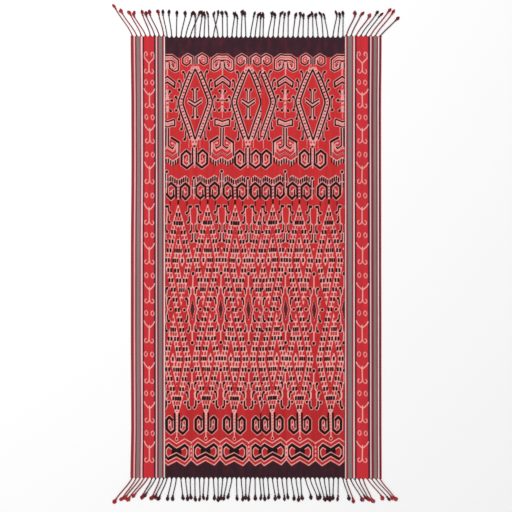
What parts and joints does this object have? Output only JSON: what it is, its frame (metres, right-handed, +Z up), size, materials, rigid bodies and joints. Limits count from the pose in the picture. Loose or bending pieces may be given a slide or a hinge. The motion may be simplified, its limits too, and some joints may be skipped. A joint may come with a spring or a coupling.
{
  "type": "woven shawl",
  "caption": "Flat ikat-woven cotton shawl with a sewn centre seam, striped borders and a knotted cord fringe at both ends.",
  "frame": {"origin": "centre of the whole shawl's bounding box, on the surface that it lies on", "axes": "+Z up out of the cloth's face, +Y along the shawl towards its top end, +X across it to the right"},
  "size_m": [1.1492, 2.0036, 0.0078],
  "materials": {
    "border_cloth": "matte striped handwoven cotton",
    "panel_cloth": "matte warp-ikat handwoven cotton",
    "border_cord": "twisted cotton cord",
    "panel_cord": "twisted cotton cord"
  },
  "bodies": {
    "root": {"left_border": "border_cloth", "left_panel": "panel_cloth", "right_panel": "panel_cloth", "right_border": "border_cloth", "left_border_top_fringe": "border_cord", "left_panel_top_fringe": "panel_cord", "right_panel_top_fringe": "panel_cord", "right_border_top_fringe": "border_cord", "left_border_bottom_fringe": "border_cord", "left_panel_bottom_fringe": "panel_cord", "right_panel_bottom_fringe": "panel_cord", "right_border_bottom_fringe": "border_cord"}
  },
  "joints": []
}
